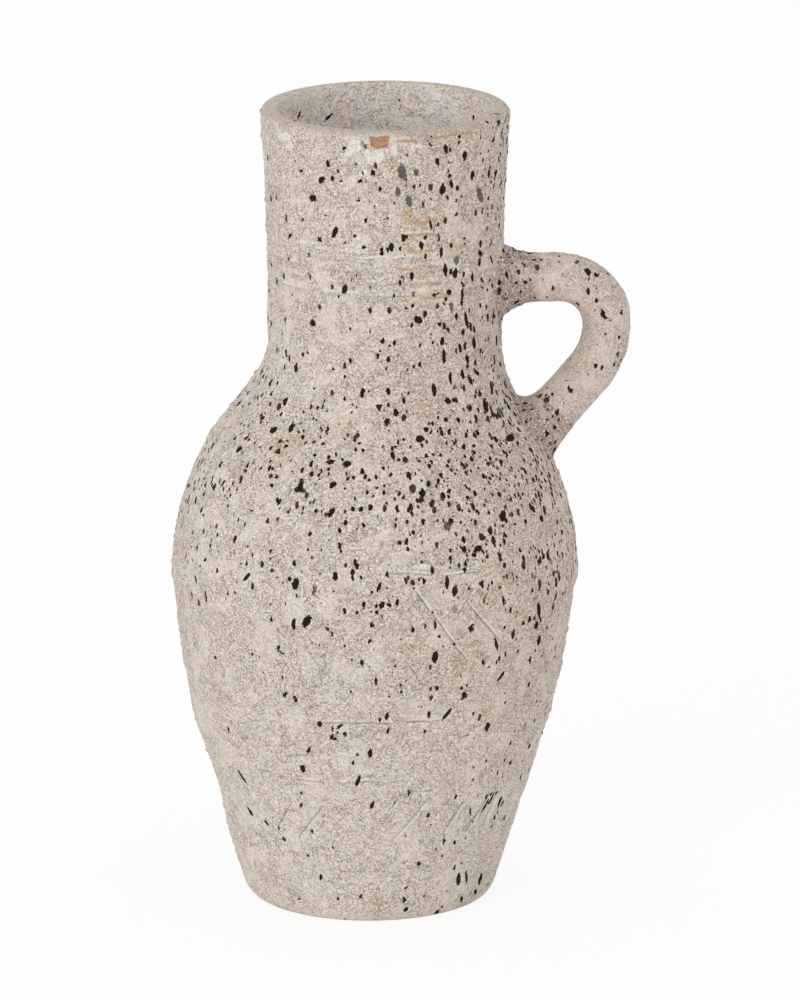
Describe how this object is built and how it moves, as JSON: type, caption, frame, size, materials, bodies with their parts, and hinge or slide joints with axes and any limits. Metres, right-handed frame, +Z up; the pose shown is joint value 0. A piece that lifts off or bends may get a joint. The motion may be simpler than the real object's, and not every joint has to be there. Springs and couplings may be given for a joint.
{
  "type": "vase",
  "caption": "Tall clay jug-shaped vase with an egg-shaped belly, a straight open neck and one loop handle, in a rough speckled sandy coat.",
  "frame": {"origin": "centre of the flat foot, on the surface that the vase stands on", "axes": "+Z up towards the mouth; +X towards the handle; the handle's loop lies in the XZ plane"},
  "size_m": [0.2043, 0.181, 0.36],
  "materials": {
    "coated_clay": "matte sandy slip over fired clay, grey-beige, gritty, with black speckles",
    "handle_clay": "matte fine slip over fired clay, pinkish beige, smoother, with sparse black speckles",
    "luting_clay": "matte coarse sandy slip over fired clay, darker beige, with dense black speckles"
  },
  "bodies": {
    "root": {"lower_body": "coated_clay", "upper_body": "coated_clay", "neck": "coated_clay", "handle": "handle_clay", "handle_upper_luting": "luting_clay", "handle_lower_luting": "luting_clay"}
  },
  "joints": []
}
